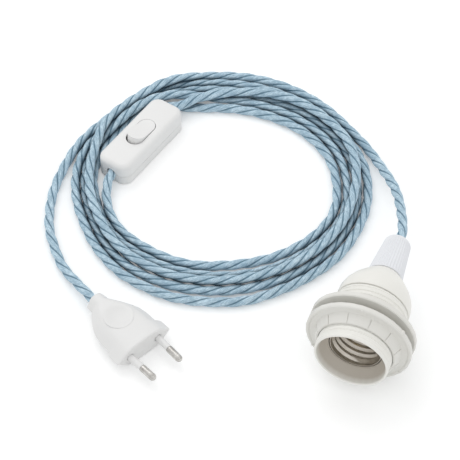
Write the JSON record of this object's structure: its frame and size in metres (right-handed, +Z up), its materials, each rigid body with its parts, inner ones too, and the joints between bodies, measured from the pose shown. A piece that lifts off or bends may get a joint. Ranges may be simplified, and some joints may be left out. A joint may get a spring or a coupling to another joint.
{
  "type": "pendant cord set",
  "caption": "Lampholder with two screw rings for a shade, on a twisted textile cord with an inline rocker switch and a flat two-pin plug, laid in a coil.",
  "frame": {"origin": "on the floor under the middle of the lampholder's bounding box, the cord set left out", "axes": "-Y runs out of the lampholder's mouth along its axis, +Z is up from the floor it lies on, and the coil, switch and plug lie towards -X"},
  "size_m": [0.2272, 0.2232, 0.056],
  "materials": {
    "holder_plastic": "satin",
    "ring_plastic": "satin",
    "grip_plastic": "satin",
    "switch_plastic": "satin",
    "plug_plastic": "satin",
    "nickel": "polished",
    "brass": "satin",
    "steel": "satin",
    "wire_insulation": "satin",
    "cord_textile": "woven"
  },
  "bodies": {
    "cord_set": {"skirt": "holder_plastic", "dome": "holder_plastic", "socket_core": "holder_plastic", "cord_grip": "grip_plastic", "grip_collet": "grip_plastic", "thread_shell": "nickel", "centre_contact": "brass", "side_contact": "brass", "holder_terminal_live": "brass", "holder_terminal_neutral": "brass", "switch_terminal_a": "brass", "switch_terminal_b": "brass", "holder_screw_live": "steel", "holder_screw_neutral": "steel", "switch_screw_a": "steel", "switch_screw_b": "steel", "cord_clamp_a": "steel", "cord_clamp_b": "steel", "housing_screw_a": "steel", "housing_screw_b": "steel", "holder_wire_live": "wire_insulation", "holder_wire_neutral": "wire_insulation", "through_wire": "wire_insulation", "switch_cover": "switch_plastic", "switch_base": "switch_plastic", "plug_body": "plug_plastic", "pin_sleeve_a": "plug_plastic", "pin_sleeve_b": "plug_plastic", "plug_pin_a": "nickel", "plug_pin_b": "nickel", "cord_coil": "cord_textile", "cord_lamp_lead": "cord_textile", "cord_plug_lead": "cord_textile", "cord_switch_lead_a": "cord_textile", "cord_switch_lead_b": "cord_textile", "cord_end_in_grip": "cord_textile", "cord_end_in_switch_a": "cord_textile", "cord_end_in_switch_b": "cord_textile"},
    "rocker": {"rocker": "switch_plastic", "contact_bridge": "brass"},
    "lower_ring": {"lower_ring": "ring_plastic"},
    "upper_ring": {"upper_ring": "ring_plastic"}
  },
  "joints": [
    {"name": "rocker_tilt", "type": "hinge", "parent": "cord_set", "child": "rocker", "pos_m": [-0.1623, 0.0776, 0.0114], "axis": [0.9703, -0.2419, 0], "range_deg": [0, 20]},
    {"name": "lower_ring_travel", "type": "slide", "parent": "cord_set", "child": "lower_ring", "axis": [0, -1, 0], "range_m": [0, 0.022]},
    {"name": "upper_ring_travel", "type": "slide", "parent": "cord_set", "child": "upper_ring", "axis": [0, 1, 0], "range_m": [0, 0.01]}
  ]
}
